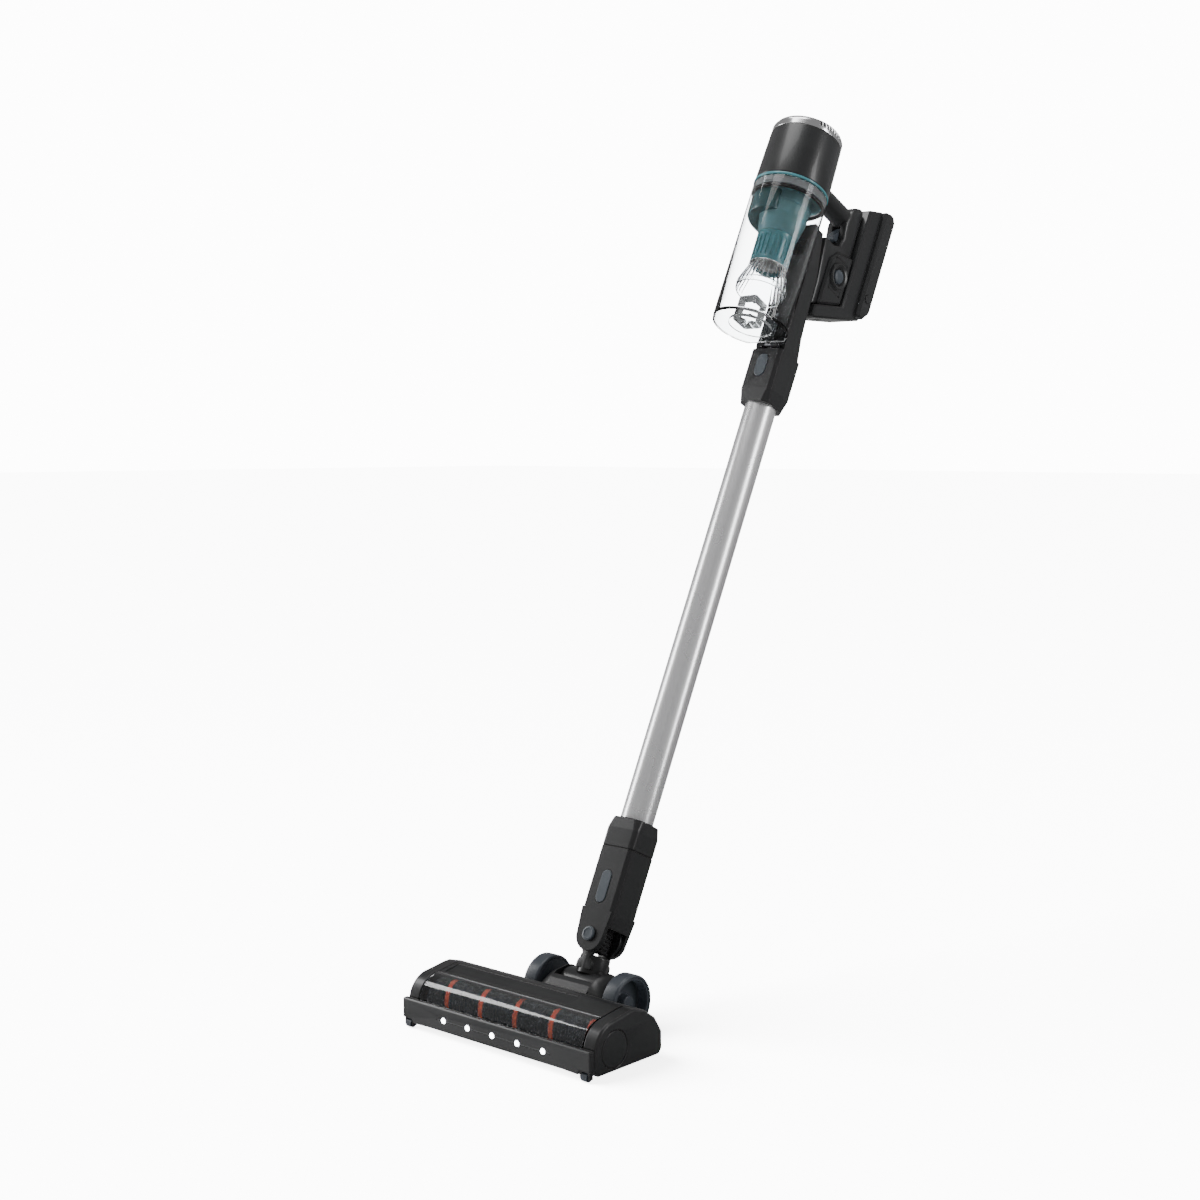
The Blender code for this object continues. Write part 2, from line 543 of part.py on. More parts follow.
def build_housing(wand):
    centre = (0.0, CUP_Y)
    origin = (0.0, CUP_Y, HOUSING_LOW)
    wall = 2.2
    top_radius = 40.2
    shell = [(30.0, HOUSING_LOW), (41.8, HOUSING_LOW), (top_radius, HOUSING_HIGH),
             (top_radius - wall, HOUSING_HIGH), (41.8 - wall, HOUSING_LOW + 2.4), (30.0, HOUSING_LOW + 2.4)]
    turned("motor_housing", shell, centre, "Z", wand, "charcoal", 36, origin)
    rim, base = top_radius - 0.2, HOUSING_HIGH + GAP
    dome = [(rim, base), (rim, base + 6.0), (rim - 2.6, base + 10.6), (rim - 8.0, base + 13.4),
            (26.0, base + 15.2), (0.0, base + 16.4), (0.0, base + 14.2), (26.0, base + 13.0),
            (rim - 8.6, base + 11.2), (rim - 4.4, base + 9.0), (rim - 2.2, base + 6.0), (rim - 2.2, base)]
    cap = turned("exhaust_cap", dome, centre, "Z", wand, "silver", 36, origin)
    for side, label in ((-1, "left"), (1, "right")):
        for number in range(8):
            angle = math.radians(90.0 - side * (32.0 + 6.5 * number))
            slot = block(f"vent_{label}_{number}", (rim - 7.5, -1.1, base + 4.5), (rim + 4.0, 1.1, base + 12.2),
                         vent_guide(wand, label, number, angle))
            cut(cap, slot)
    ring("teal_ring", 36.5, CUP_RADIUS + 0.5, CUP_HIGH + GAP, HOUSING_LOW - GAP, centre, "Z", wand, "teal",
         36, origin)
    ring("exhaust_filter", 8.0, 36.5, 929.0, 942.0, centre, "Z", wand, "filter", 32, origin)
    motor = [(0.0, 893.0), (24.0, 893.0), (26.5, 896.0), (26.5, 918.0), (18.0, 924.0), (0.0, 924.0)]
    turned("suction_motor", motor, centre, "Z", wand, "steel", 32, origin)
    build_fan(wand, centre)


def vent_guide(wand, label, number, angle):
    """A guide turned about the cup's axis, so that each vent slot is cut radially."""
    return empty(f"vent_guide_{label}_{number}", (0.0, CUP_Y, 0.0), (0.0, 0.0, angle), wand)


def build_fan(wand, centre):
    hub = rod("fan", 25.0, 887.0, 888.2, centre, "Z", wand, "black", 32, (0.0, CUP_Y, 887.0))
    blades = 9
    for number in range(blades):
        guide = empty(f"blade_guide_{number}", (0.0, CUP_Y, 0.0), (0.0, 0.0, math.tau * number / blades), wand)
        join(hub, block(f"blade_{number}", (6.0, -0.6, 887.6), (24.0, 0.6, 891.6), guide))
    join(hub, rod("fan_hub", 8.0, 887.2, 892.2, centre, "Z", wand, steps=24))


def build_dust_cup(wand):
    centre = (0.0, CUP_Y)
    inner = CUP_RADIUS - CUP_WALL
    origin = (0.0, CUP_Y, CUP_LOW)
    cup = ring("dust_cup", inner, CUP_RADIUS, CUP_LOW, CUP_HIGH, centre, "Z", wand, "clear", 40, origin)
    cut(cup, block("cup_inlet_cutter", (-8.0, -24.0, 828.0), (8.0, -10.0, 846.0), wand))
    hinge_y, hinge_z = -18.5, 714.2
    hinge_block = prism("cup_hinge_block", [(-21.5, 711.2), (-15.4, 711.2), (-15.4, 717.1), (-21.5, 717.1)],
                        -14.0, 14.0, "X", wand, "charcoal", origin)
    knuckle_gap = block("knuckle_cutter", (-5.4, -30.0, 700.0), (5.4, -10.0, 730.0), wand)
    pin_bore = rod("hinge_bore_cutter", 1.5, -20.0, 20.0, (hinge_y, hinge_z), "X", wand, steps=20)
    cut(hinge_block, knuckle_gap, pin_bore)
    join(hinge_block, block("hinge_bridge", (-14.0, -15.9, 714.8), (14.0, -15.4, 717.1), wand))
    pin_origin = (0.0, hinge_y, hinge_z)
    rod("lid_pin", 1.2, -13.5, 13.5, (hinge_y, hinge_z), "X", wand, "steel", 16, pin_origin)
    lid_edge = 41.5
    reach = hinge_y - 4.8 - CUP_Y
    half_angle = math.degrees(math.acos(reach / lid_edge))
    outline = [(x, y) for y, x in arc((CUP_Y, 0.0), lid_edge, half_angle, 360.0 - half_angle, 30)]
    lid = prism("cup_lid", outline, 714.4, 717.1, "Z", wand, "clear", pin_origin)
    knuckle = rod("lid_knuckle", 2.3, -5.0, 5.0, (hinge_y, hinge_z), "X", wand, steps=20)
    bridge = block("lid_bridge", (-5.0, -24.5, 714.4), (5.0, -18.5, 716.2), wand)
    step = rod("lid_step", 24.0, 716.5, 720.5, centre, "Z", wand, steps=32)
    join(lid, knuckle, bridge, step)
    cut(lid, rod("lid_pin_cutter", 1.5, -20.0, 20.0, (hinge_y, hinge_z), "X", wand, steps=20))


def build_cyclone(wand):
    centre = (0.0, CUP_Y)
    origin = (0.0, CUP_Y, CUP_LOW)
    bell = [(33.0, 871.0), (37.0, 871.0), (37.0, 875.0), (31.2, 875.0)]
    curve_out = [(34.0, 868.0), (33.5, 852.0), (30.5, 840.0), (25.0, 831.0), (21.6, 824.0)]
    curve_in = [(19.8, 824.0), (23.3, 832.0), (28.8, 841.0), (31.7, 853.0), (32.2, 868.0)]
    profile = [(31.2, 875.0), (32.2, 868.0)] + curve_in[::-1][1:] + curve_out[::-1] + bell[1:3]
    turned("cyclone_body", profile, centre, "Z", wand, "teal_clear", 28, origin)
    grille = ring("cyclone_grille", 19.6, 21.4, 789.0, 823.7, centre, "Z", wand, "teal", 36, origin)
    for number in range(12):
        guide = empty(f"slot_guide_{number}", (0.0, CUP_Y, 0.0), (0.0, 0.0, math.pi * (number + 0.5) / 12), wand)
        cut(grille, block(f"grille_slot_{number}", (-30.0, -1.5, 794.0), (30.0, 1.5, 819.0), guide))
    skirt = [(19.6, 788.7), (21.4, 788.7), (22.0, 782.0), (28.5, 764.0), (28.5, 758.0), (27.0, 758.0),
             (27.0, 763.6), (20.4, 781.8)]
    turned("cyclone_skirt", skirt, centre, "Z", wand, "clear", 28, origin)
    ring("cup_seal", 37.4, 39.6, 871.0, 879.7, centre, "Z", wand, "rubber", 28, origin)
    ring("pre_filter", 9.0, 17.0, 792.0, 868.0, centre, "Z", wand, "filter", 32, origin)


def build_handle(wand):
    """The loop handle: a round arm above, a grip behind and the switch housing below."""
    level = LEVEL_SLOPE
    outline = [(14.6, 783.4), (20.6, 786.0), (61.3, 786.0 + 40.7 * level), (61.3, 925.0), (56.0, 929.0), (46.0, 924.0),
               (40.0, 915.0), (36.0, 898.0), (39.0, 880.0), (36.0, 869.0), (26.0, 864.6), (7.2, 864.6),
               (9.9, 845.0), (14.1, 812.0)]
    frame = prism("handle_frame", outline, -14.0, 14.0, "X", wand, "charcoal")
    soften(frame, 4.0, 2)
    axis_y, arm_low, arm_high = 908.5, -13.0, 52.0
    join(frame, rod("handle_arm", 12.4, arm_low, arm_high, (0.0, axis_y), "Y", wand, steps=32))
    clear_of_cup = rod("arm_clearance_cutter", CUP_RADIUS + 0.6, 800.0, 1000.0, (0.0, CUP_Y), "Z", wand, steps=36)
    housing_outline = [(22.0, 787.0), (61.3, 787.0 + 39.3 * level), (61.3, 866.0), (34.0, 859.0), (22.0, 845.0)]
    housing = prism("switch_housing", housing_outline, -18.0, 18.0, "X", wand)
    soften(housing, 2.5)
    join(frame, housing)
    pocket = block("board_pocket_cutter", (-12.0, 30.0, 812.0), (30.0, 54.0, 852.0), wand)
    trigger_slot = block("trigger_slot_cutter", (-5.4, 30.0, 874.0), (5.4, 50.0, 896.0), wand)
    trunnion_bore = rod("trigger_bore_cutter", 1.8, -8.0, 8.0, (44.0, 893.0), "X", wand, steps=16)
    cut(frame, clear_of_cup, pocket, trigger_slot, trunnion_bore)
    block("circuit_board", (-10.0, 31.5, 813.5), (-8.4, 52.5, 850.5), wand, "board")
    build_mode_button(wand)
    build_trigger(wand)


def build_mode_button(wand):
    centre = (42.0, 832.0)
    plate = block("bezel", (11.0, 30.4, 812.4), (18.6, 53.6, 851.6), wand, "charcoal", (18.0, *centre))
    join(plate, ring("bezel_ring", 9.0, 15.6, 18.3, 21.0, centre, "X", wand, steps=32))
    cut(plate, block("bezel_seat_cutter", (5.0, 33.4, 823.4), (30.0, 50.6, 840.6), wand))
    shape = [(y, z) for y, z in octagon(8.0, 8.0, 3.0)]
    shape = [(centre[0] + y, centre[1] + z) for y, z in shape]
    button = prism("mode_button", shape, 14.5, 21.2, "X", wand, "blue_grey", (18.0, *centre))
    soften(button, 1.0)


def build_trigger(wand):
    pivot = (44.0, 893.0)
    outline = [(41.0, 895.4), (46.5, 895.4), (48.0, 890.0), (43.0, 878.0), (30.5, 875.0), (29.5, 879.0),
               (35.0, 886.0)]
    trigger = prism("trigger", outline, -5.0, 5.0, "X", wand, "blue_grey", (0.0, *pivot))
    join(trigger, rod("trigger_trunnion", 1.5, -7.0, 7.0, pivot, "X", wand, steps=16))


def build_battery(wand):
    level = LEVEL_SLOPE
    foot = 767.0
    outline = [(14.6, foot + 4.0), (17.6, foot), (97.0, foot + 80.0 * level), (106.0, 820.0), (106.0, 938.0),
               (100.0, 945.0), (84.0, 941.0), (61.8, 930.0), (61.8, 786.0 + 41.2 * level - 1.0),
               (20.0, 785.0), (14.6, 782.3)]
    case = prism("battery_case", outline, -21.0, 21.0, "X", wand, "charcoal")
    soften(case, 2.0)
    plate = prism("battery_plate", [(85.0, 806.0), (97.0, 806.5), (107.0, 820.0), (107.0, 938.0),
                                    (100.0, 945.6), (85.0, 941.6)], -27.0, 27.0, "X", wand)
    soften(plate, 3.0)
    join(case, plate)
    pocket = block("cell_pocket_cutter", (-19.0, 64.5, 826.0), (19.0, 103.5, 960.0), wand)
    port = block("charging_port_cutter", (-4.5, 45.0, 760.0), (4.5, 53.0, 792.0), wand)
    socket = rod("battery_button_cutter", 5.0, 22.6, 40.0, (94.0, 832.0), "X", wand, steps=24)
    cut(case, pocket, port, socket)
    cover = [(64.8, 896.0), (103.2, 896.0), (103.2, 941.2), (100.0, 944.8), (84.0, 940.8), (64.8, 931.4)]
    prism("battery_cover", cover, -18.7, 18.7, "X", wand, "charcoal")
    cells = block("battery_cells", (-14.0, 70.0, 856.0), (14.0, 98.0, 862.0), wand, "cell")
    for number in range(4):
        centre = (-9.4 + 18.8 * (number % 2), 74.6 + 18.8 * (number // 2))
        join(cells, rod(f"cell_{number + 1}", 9.1, 828.0, 893.0, centre, "Z", wand, steps=24))
    rod("battery_button", 4.6, 24.8, 28.0, (94.0, 832.0), "X", wand, "charcoal", 24, (27.0, 94.0, 832.0))


def main():
    clear_scene()
    head = empty("head_frame", (0.0, FRAME_SHIFT_Y, 0.0))
    wand = empty("wand_frame", (0.0, TILT_Y, TILT_Z), (-LEAN, 0.0, 0.0), head)
    build_head_shells(head)
    build_end_caps(head)
    build_bumper(head)
    build_roller(head)
    build_drive(head)
    build_yoke_and_wheels(head)
    build_neck(wand, head)
    build_hose(wand)
    build_lower_connector(wand)
    build_tube(wand)
    build_upper_connector(wand)
    build_main_body(wand)
    build_housing(wand)
    build_dust_cup(wand)
    build_cyclone(wand)
    build_handle(wand)
    build_battery(wand)


main()
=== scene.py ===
import json
import math
import bmesh
import bpy
import numpy as np
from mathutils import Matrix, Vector


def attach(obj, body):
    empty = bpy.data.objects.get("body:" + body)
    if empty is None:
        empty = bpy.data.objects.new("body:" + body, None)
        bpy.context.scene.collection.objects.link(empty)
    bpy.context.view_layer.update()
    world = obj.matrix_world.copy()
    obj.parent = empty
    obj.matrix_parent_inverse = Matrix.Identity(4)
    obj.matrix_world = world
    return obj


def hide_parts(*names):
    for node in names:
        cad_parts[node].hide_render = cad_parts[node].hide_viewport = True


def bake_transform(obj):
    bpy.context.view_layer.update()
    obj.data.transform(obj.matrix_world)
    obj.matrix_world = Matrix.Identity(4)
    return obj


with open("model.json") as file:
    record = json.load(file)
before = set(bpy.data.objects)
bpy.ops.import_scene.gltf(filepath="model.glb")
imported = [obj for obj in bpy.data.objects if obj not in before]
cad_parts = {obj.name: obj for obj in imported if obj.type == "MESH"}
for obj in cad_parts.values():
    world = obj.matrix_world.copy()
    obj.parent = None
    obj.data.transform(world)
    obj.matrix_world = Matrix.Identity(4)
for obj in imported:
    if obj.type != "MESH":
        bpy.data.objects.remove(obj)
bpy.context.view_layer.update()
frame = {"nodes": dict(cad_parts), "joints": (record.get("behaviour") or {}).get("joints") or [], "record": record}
record = frame["record"]
joints = {joint["name"]: joint for joint in frame["joints"]}
bodyOf = {node: body for body, members in record["behaviour"]["bodies"].items() for node in members}
slotOf = {entry["node"]: entry["material_slot"] for entry in record["subparts"]}

# Two working frames in millimetres: the floor head's, and the wand's, which leans with it.
mm = 0.001
across = np.array((1.0, 0.0, 0.0))
upWand = np.array(joints["tube_pull_out"]["axis"])
backWand = -np.array(joints["wand_swivel"]["axis"])
tiltPoint = np.array(joints["neck_tilt"]["pos_m"])
rollerPoint = np.array(joints["roller_spin"]["pos_m"])
rollerAt = (28.3, 24.0)
cupY = -56.7


def onWand(x, y, z):
    x, y, z = np.broadcast_arrays(x, y, z)
    return tiltPoint + mm * (x[..., None] * across + y[..., None] * backWand + z[..., None] * upWand)


def onHead(x, y, z):
    x, y, z = np.broadcast_arrays(x, y, z)
    return rollerPoint + mm * np.stack((x, y - rollerAt[0], z - rollerAt[1]), axis=-1)


def node(tree, kind, place, **values):
    made = tree.nodes.new(kind)
    made.location = place
    for key, value in values.items():
        setattr(made, key, value)
    return made


def mouldedGroup():
    # fine grain for the bump, and broad mottling that shifts colour and roughness a little
    group = bpy.data.node_groups.new("mouldedSurface", "ShaderNodeTree")
    sockets = (("Color", "INPUT", "NodeSocketColor"), ("Shade", "INPUT", "NodeSocketColor"),
               ("Scale", "INPUT", "NodeSocketFloat"), ("Roughness", "INPUT", "NodeSocketFloat"),
               ("Spread", "INPUT", "NodeSocketFloat"), ("Color", "OUTPUT", "NodeSocketColor"),
               ("Roughness", "OUTPUT", "NodeSocketFloat"), ("Height", "OUTPUT", "NodeSocketFloat"))
    for label, way, kind in sockets:
        group.interface.new_socket(label, in_out=way, socket_type=kind)
    given = node(group, "NodeGroupInput", (-800, 0))
    out = node(group, "NodeGroupOutput", (500, 0))
    where = node(group, "ShaderNodeTexCoord", (-800, -300))
    grain = node(group, "ShaderNodeTexNoise", (-500, -300))
    grain.inputs["Detail"].default_value = 3.0
    broad = node(group, "ShaderNodeTexNoise", (-500, 200))
    broad.inputs["Scale"].default_value = 24.0
    broad.inputs["Detail"].default_value = 5.0
    blend = node(group, "ShaderNodeMix", (-100, 200), data_type="RGBA")
    centred = node(group, "ShaderNodeMath", (-250, 0), operation="SUBTRACT")
    centred.inputs[1].default_value = 0.5
    rough = node(group, "ShaderNodeMath", (0, 0), operation="MULTIPLY_ADD")
    link = group.links.new
    link(where.outputs["Object"], grain.inputs["Vector"])
    link(where.outputs["Object"], broad.inputs["Vector"])
    link(given.outputs["Scale"], grain.inputs["Scale"])
    link(broad.outputs["Fac"], blend.inputs["Factor"])
    link(given.outputs["Color"], blend.inputs[6])
    link(given.outputs["Shade"], blend.inputs[7])
    link(broad.outputs["Fac"], centred.inputs[0])
    link(centred.outputs[0], rough.inputs[0])
    link(given.outputs["Spread"], rough.inputs[1])
    link(given.outputs["Roughness"], rough.inputs[2])
    link(blend.outputs[2], out.inputs["Color"])
    link(rough.outputs[0], out.inputs["Roughness"])
    link(grain.outputs["Fac"], out.inputs["Height"])
    return group


moulded = mouldedGroup()


def finish(name, color, shade, roughness, grain=1500.0, depth=0.05, spread=0.1, metallic=0.0, coat=0.0,
           transmission=0.0, ior=1.5, sheen=0.0, glow=0.0):
    # color and shade are the two ends of the mottling; depth is the strength of the bump
    material = bpy.data.materials.new(name)
    material.use_nodes = True
    tree = material.node_tree
    shader = tree.nodes["Principled BSDF"]
    skin = node(tree, "ShaderNodeGroup", (-500, 0), node_tree=moulded)
    skin.inputs["Color"].default_value = (*color, 1.0)
    skin.inputs["Shade"].default_value = (*shade, 1.0)
    skin.inputs["Scale"].default_value = grain
    skin.inputs["Roughness"].default_value = roughness
    skin.inputs["Spread"].default_value = spread
    bump = node(tree, "ShaderNodeBump", (-250, -300))
    bump.inputs["Strength"].default_value = depth
    bump.inputs["Distance"].default_value = 0.0003
    tree.links.new(skin.outputs["Height"], bump.inputs["Height"])
    tree.links.new(skin.outputs["Color"], shader.inputs["Base Color"])
    tree.links.new(skin.outputs["Roughness"], shader.inputs["Roughness"])
    tree.links.new(bump.outputs["Normal"], shader.inputs["Normal"])
    shader.inputs["Metallic"].default_value = metallic
    shader.inputs["Coat Weight"].default_value = coat
    shader.inputs["Transmission Weight"].default_value = transmission
    shader.inputs["IOR"].default_value = ior
    shader.inputs["Sheen Weight"].default_value = sheen
    if glow:
        shader.inputs["Emission Color"].default_value = (0.95, 0.98, 1.0, 1.0)
        shader.inputs["Emission Strength"].default_value = glow
    return material


looks = {
    "charcoal": finish("charcoal", (0.0115, 0.0118, 0.0125), (0.0165, 0.0169, 0.0177), 0.33, coat=0.15),
    "charcoal_satin": finish("charcoalSatin", (0.012, 0.0124, 0.013), (0.017, 0.0175, 0.0182), 0.38, 1900,
                             0.09),
    "black": finish("blackPlastic", (0.012, 0.012, 0.013), (0.018, 0.018, 0.019), 0.45),
    "window": finish("smokedWindow", (0.93, 0.94, 0.95), (0.96, 0.97, 0.98), 0.05, depth=0.0, spread=0.03,
                     transmission=1.0, ior=1.46),
    "clear": finish("clearPlastic", (0.95, 0.97, 0.98), (0.97, 0.98, 0.99), 0.04, depth=0.0, spread=0.03,
                    transmission=1.0, ior=1.35),
    "lamp": finish("lampLine", (0.05, 0.052, 0.055), (0.08, 0.082, 0.085), 0.25, glow=0.02),
    "steel": finish("steel", (0.55, 0.55, 0.57), (0.48, 0.48, 0.50), 0.30, 900, 0.1, metallic=1.0),
    "rubber": finish("beltRubber", (0.012, 0.012, 0.012), (0.02, 0.02, 0.02), 0.75, 1200, 0.3),
    "tyre": finish("tyreRubber", (0.050, 0.060, 0.074), (0.064, 0.075, 0.090), 0.36, 1400, 0.15),
    "blue_grey": finish("blueGrey", (0.060, 0.074, 0.090), (0.078, 0.092, 0.108), 0.34, coat=0.1),
    "silver": finish("satinTube", (0.92, 0.92, 0.93), (0.86, 0.86, 0.87), 0.28, 1100, 0.05, metallic=0.9),
    "silver_plastic": finish("platedCap", (0.86, 0.86, 0.87), (0.80, 0.80, 0.81), 0.17, metallic=1.0),
    "teal": finish("tealGloss", (0.085, 0.30, 0.35), (0.11, 0.34, 0.39), 0.22, coat=0.4),
    "teal_clear": finish("tealClear", (0.30, 0.60, 0.67), (0.38, 0.68, 0.74), 0.16, depth=0.02,
                         transmission=0.55, ior=1.3),
    "filter": finish("filterPaper", (0.80, 0.80, 0.77), (0.70, 0.70, 0.67), 0.9, 700, 0.5),
    "board": finish("boardGreen", (0.02, 0.16, 0.07), (0.03, 0.20, 0.09), 0.4),
    "cell": finish("cellWrap", (0.04, 0.12, 0.32), (0.05, 0.15, 0.36), 0.3),
}
looks["tealDeep"] = finish("tealDeep", (0.028, 0.105, 0.120), (0.045, 0.140, 0.155), 0.20, coat=0.3)
looks["smoke"] = finish("smokedPlastic", (0.16, 0.17, 0.18), (0.22, 0.23, 0.24), 0.15, transmission=0.6,
                        ior=1.3)
looks["rim"] = finish("frostedRim", (0.60, 0.64, 0.66), (0.72, 0.75, 0.77), 0.25, transmission=0.5,
                      ior=1.3)
looks["lampBright"] = finish("lampBright", (1.0, 1.0, 1.0), (0.95, 0.97, 1.0), 0.2, glow=14.0)


def pileFinish():
    # the red stripe follows the pile, so it is a value stored on the mesh
    material = finish("brushPile", (0.016, 0.022, 0.030), (0.028, 0.036, 0.046), 0.85, 2600, 0.9, sheen=0.4)
    tree = material.node_tree
    shader = tree.nodes["Principled BSDF"]
    skin = next(n for n in tree.nodes if n.type == "GROUP")
    stripe = node(tree, "ShaderNodeAttribute", (-500, 300), attribute_name="stripe")
    choose = node(tree, "ShaderNodeMix", (-250, 200), data_type="RGBA")
    choose.inputs[7].default_value = (0.90, 0.15, 0.07, 1.0)
    tree.links.new(stripe.outputs["Fac"], choose.inputs["Factor"])
    tree.links.new(skin.outputs["Color"], choose.inputs[6])
    tree.links.new(choose.outputs[2], shader.inputs["Base Color"])
    return material


looks["brush"] = pileFinish()
for name, part in frame["nodes"].items():
    part.data.materials.clear()
    part.data.materials.append(looks[slotOf[name]])
print("materials ready")


def rounded(corners, steps=6):
    # Each corner (u, v, radius) becomes an arc tangent to both of its sides.
    shape = []
    for number, (u, v, radius) in enumerate(corners):
        here = np.array((u, v), float)
        before = np.array(corners[number - 1][:2], float) - here
        after = np.array(corners[(number + 1) % len(corners)][:2], float) - here
        before /= np.linalg.norm(before)
        after /= np.linalg.norm(after)
        half = 0.5 * math.acos(max(-1.0, min(1.0, float(before @ after))))
        if radius == 0 or half > 1.55:
            shape.append(here[None])
            continue
        middle = here + (before + after) / np.linalg.norm(before + after) * radius / math.sin(half)
        first = here + before * radius / math.tan(half) - middle
        last = here + after * radius / math.tan(half) - middle
        turn = math.pi - 2.0 * half
        t = np.linspace(0.0, 1.0, steps + 1)[:, None]
        shape.append(middle + (np.sin((1 - t) * turn) * first + np.sin(t * turn) * last) / math.sin(turn))
    return np.concatenate(shape)


def surface(name, grid, loop=False, capped=False):
    # A grid of points, closed across its columns; its rows close too, or end in flat caps.
    index = np.arange(grid.shape[0] * grid.shape[1]).reshape(grid.shape[:2])
    upper = np.roll(index, -1, axis=0)
    if not loop:
        upper = upper[:-1]
    lower = index[:len(upper)]
    quads = np.stack((lower, np.roll(lower, -1, 1), np.roll(upper, -1, 1), upper), -1)
    quads = quads.reshape(-1, 4).tolist()
    if capped:
        quads += [index[0][::-1].tolist(), index[-1].tolist()]
    mesh = bpy.data.meshes.new(name)
    mesh.from_pydata(grid.reshape(-1, 3).tolist(), [], quads)
    tidy(mesh, 2e-6)
    return placed(name, mesh)


def placed(name, mesh):
    made = bpy.data.objects.new(name, mesh)
    bpy.context.scene.collection.objects.link(made)
    return made


def smooth(mesh):
    mesh.shade_smooth()
    mesh.set_sharp_from_angle(angle=math.radians(34.0))


def tidy(mesh, distance, flatten=False):
    work = bmesh.new()
    work.from_mesh(mesh)
    bmesh.ops.remove_doubles(work, verts=work.verts, dist=distance)
    if flatten:
        bmesh.ops.dissolve_limit(work, angle_limit=math.radians(0.6), verts=work.verts, edges=work.edges)
    bmesh.ops.recalc_face_normals(work, faces=work.faces)
    work.to_mesh(mesh)
    work.free()
    smooth(mesh)


def lathe(name, corners, place, segments=96, change=None, fine=0.0):
    # A closed profile of (radius, along) turned about an axis; change() may alter each radius.
    profile = rounded(corners)
    if fine:
        nextPoint = np.roll(profile, -1, axis=0)
        parts = []
        for start, end in zip(profile, nextPoint):
            count = max(1, int(np.linalg.norm(end - start) / fine))
            parts.append(start + (end - start) * np.arange(count)[:, None] / count)
        profile = np.concatenate(parts)
    angle = np.linspace(0.0, math.tau, segments, endpoint=False)[None, :]
    radius = np.repeat(profile[:, :1], segments, axis=1)
    along = np.repeat(profile[:, 1:], segments, axis=1)
    if change:
        radius = change(radius, along, angle)
    return surface(name, place(radius, along, angle), loop=True)


def merged(name, pieces):
    # several closed surfaces in one object
    work = bmesh.new()
    for piece in pieces:
        work.from_mesh(piece.data)
        bpy.data.objects.remove(piece)
    mesh = bpy.data.meshes.new(name)
    work.to_mesh(mesh)
    work.free()
    smooth(mesh)
    return placed(name, mesh)


def aboutWand(y):
    # turned about the wand's own direction, at distance y behind the tube
    return lambda radius, along, angle: onWand(radius * np.sin(angle), y - radius * np.cos(angle), along)


def aboutAcross(y, z):
    return lambda radius, along, angle: onHead(along, y - radius * np.cos(angle), z + radius * np.sin(angle))


def aboutDepth(x, z, head=False):
    place = onHead if head else onWand
    return lambda radius, along, angle: place(x + radius * np.cos(angle), along, z + radius * np.sin(angle))


def aboutSide(y, z):
    return lambda radius, along, angle: onWand(along, y - radius * np.cos(angle), z + radius * np.sin(angle))


def slab(name, outline, low, high, edge, place):
    # An outline carried from low to high, drawn in towards its middle along a quarter circle at both ends.
    middle = 0.5 * (outline.min(axis=0) + outline.max(axis=0))
    size = 0.5 * (outline.max(axis=0) - outline.min(axis=0))
    quarter = np.linspace(0.0, 0.5 * math.pi, 6)
    along = np.concatenate((low + edge * (1 - np.cos(quarter)), high - edge * (1 - np.cos(quarter[::-1]))))
    inset = edge * (1 - np.sin(quarter))
    inset = np.concatenate((inset, inset[::-1]))[:, None]
    u = middle[0] + (outline[None, :, 0] - middle[0]) * (1 - inset / size[0])
    v = middle[1] + (outline[None, :, 1] - middle[1]) * (1 - inset / size[1])
    return surface(name, place(u, v, along[:, None]), capped=True)


def upright(u, v, along):
    return onWand(u, v, along)


def deep(u, v, along):
    return onWand(u, along, v)


def wide(u, v, along):
    return onWand(along, u, v)


def box(low, high, radius):
    return rounded([(low[0], low[1], radius), (high[0], low[1], radius), (high[0], high[1], radius),
                    (low[0], high[1], radius)])


def settle(piece, nodes, look=None):
    # gives a finished piece the material of its part's slot, and its body
    nodes = nodes.split()
    slotName = slotOf[nodes[0]]
    piece.data.materials.clear()
    piece.data.materials.append(looks[look or slotName])
    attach(piece, bodyOf[nodes[0]])
    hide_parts(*nodes)


def extra(piece, body, slotName, look=None):
    piece.data.materials.append(looks[look or slotName])
    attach(piece, body)


def softened(name, width):
    # a copy of a solid with its edges rounded over
    mesh = frame["nodes"][name].data.copy()
    tidy(mesh, 2e-6, flatten=True)
    piece = placed(f"{name}_shell", mesh)
    bevel = piece.modifiers.new("edges", "BEVEL")
    bevel.width = width * mm
    bevel.segments = 3
    bevel.limit_method = "ANGLE"
    bevel.angle_limit = math.radians(33.0)
    bevel.harden_normals = True
    settle(piece, name)


edgeWidths = {
    "head_cover": 0.7, "head_base": 0.4, "end_cap_left": 0.8, "end_cap_right": 0.7,
    "brush_release_disc": 0.3, "lower_connector": 1.6, "lower_collar": 1.6,
    "upper_connector": 1.6, "main_body": 2.4, "handle_frame": 0.9, "battery_case": 1.0,
    "battery_cover": 0.4, "cup_lid": 0.5, "cup_hinge_block": 0.4, "lower_release_button": 0.4,
    "upper_release_button": 0.4, "trigger": 0.7, "battery_button": 0.4,
    "front_bumper": 0.5,
}
for name, width in edgeWidths.items():
    softened(name, width)
print("shells softened")


headLook = {"windowEdge": 108.7, "windowRadius": 27.0, "windowWall": 1.8, "lampSpacing": 33.2}


